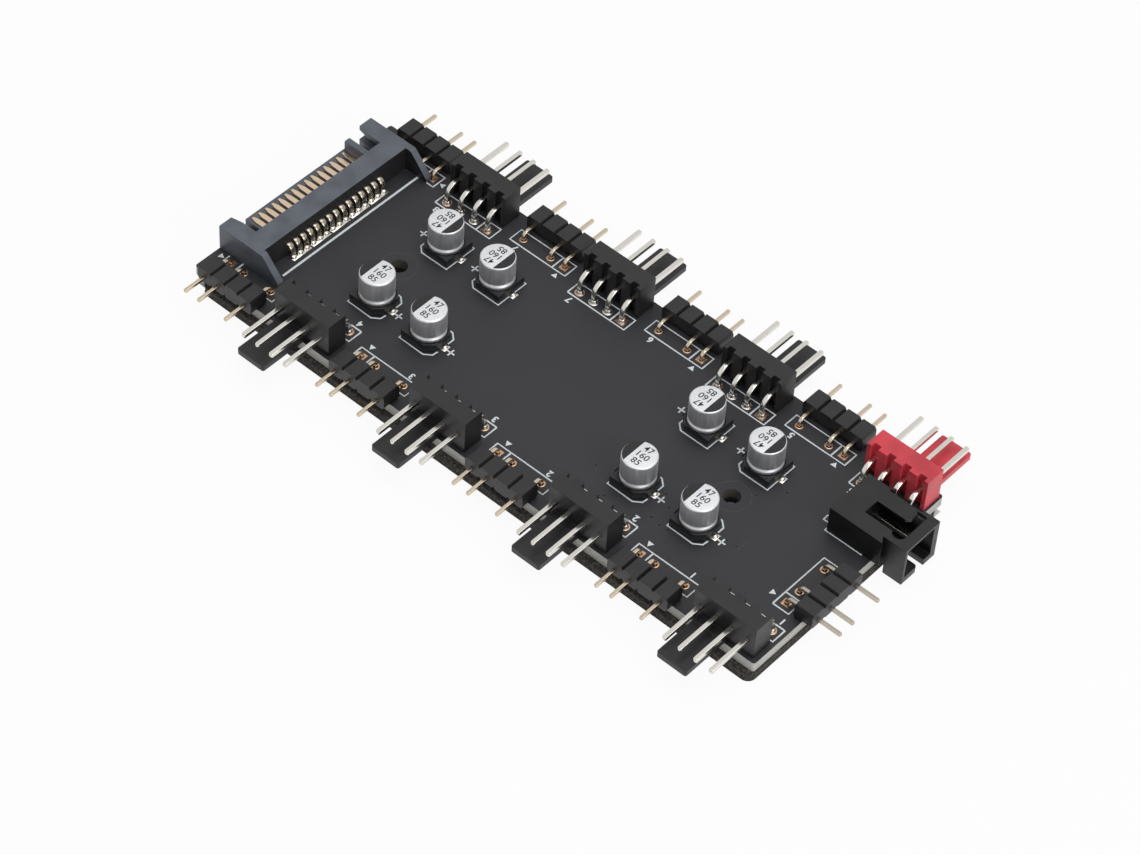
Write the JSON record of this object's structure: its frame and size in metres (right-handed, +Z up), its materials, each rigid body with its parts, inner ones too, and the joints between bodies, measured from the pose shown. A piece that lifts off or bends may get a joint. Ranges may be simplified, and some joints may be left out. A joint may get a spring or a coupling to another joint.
{
  "type": "pc fan controller hub",
  "caption": "Flat board that splits one power plug and one control input to rows of fan and light headers, on a foam pad.",
  "frame": {"origin": "middle of the foam pad's support face, under the centre of the circuit board", "axes": "+X along the board away from the power plug, +Y to the far row of headers, +Z up from the pad to the board"},
  "size_m": [0.105, 0.0538, 0.0086],
  "materials": {
    "solder_mask": "matte black solder mask over glass fibre",
    "foam": "open grained black foam",
    "grey_moulding": "satin blue-grey moulding",
    "gold_contact": "thin gold plating",
    "black_moulding": "satin black moulding",
    "red_moulding": "satin red moulding",
    "tin_pin": "bright tin plating",
    "gold_pin": "pale gold plating",
    "can_aluminium": "satin rolled aluminium"
  },
  "bodies": {
    "root": {"circuit_board": "solder_mask", "foam_pad": "foam", "power_plug_housing": "grey_moulding", "power_plug_contacts": "gold_contact", "fan_header_1": "black_moulding", "fan_header_2": "black_moulding", "fan_header_3": "black_moulding", "fan_header_4": "black_moulding", "fan_header_5": "red_moulding", "fan_header_6": "black_moulding", "fan_header_7": "black_moulding", "fan_header_8": "black_moulding", "fan_header_pins_1": "tin_pin", "fan_header_pins_2": "tin_pin", "fan_header_pins_3": "tin_pin", "fan_header_pins_4": "tin_pin", "fan_header_pins_5": "tin_pin", "fan_header_pins_6": "tin_pin", "fan_header_pins_7": "tin_pin", "fan_header_pins_8": "tin_pin", "light_header_1": "black_moulding", "light_header_2": "black_moulding", "light_header_3": "black_moulding", "light_header_4": "black_moulding", "light_header_5": "black_moulding", "light_header_6": "black_moulding", "light_header_7": "black_moulding", "light_header_8": "black_moulding", "light_header_pins_1": "gold_pin", "light_header_pins_2": "gold_pin", "light_header_pins_3": "gold_pin", "light_header_pins_4": "gold_pin", "light_header_pins_5": "gold_pin", "light_header_pins_6": "gold_pin", "light_header_pins_7": "gold_pin", "light_header_pins_8": "gold_pin", "input_header": "black_moulding", "input_header_pins": "gold_pin", "latch_header": "black_moulding", "latch_header_pins": "tin_pin", "capacitor_can_1": "can_aluminium", "capacitor_can_2": "can_aluminium", "capacitor_can_3": "can_aluminium", "capacitor_can_4": "can_aluminium", "capacitor_can_5": "can_aluminium", "capacitor_can_6": "can_aluminium", "capacitor_can_7": "can_aluminium", "capacitor_can_8": "can_aluminium", "capacitor_base_1": "black_moulding", "capacitor_base_2": "black_moulding", "capacitor_base_3": "black_moulding", "capacitor_base_4": "black_moulding", "capacitor_base_5": "black_moulding", "capacitor_base_6": "black_moulding", "capacitor_base_7": "black_moulding", "capacitor_base_8": "black_moulding", "capacitor_leads": "tin_pin"}
  },
  "joints": []
}
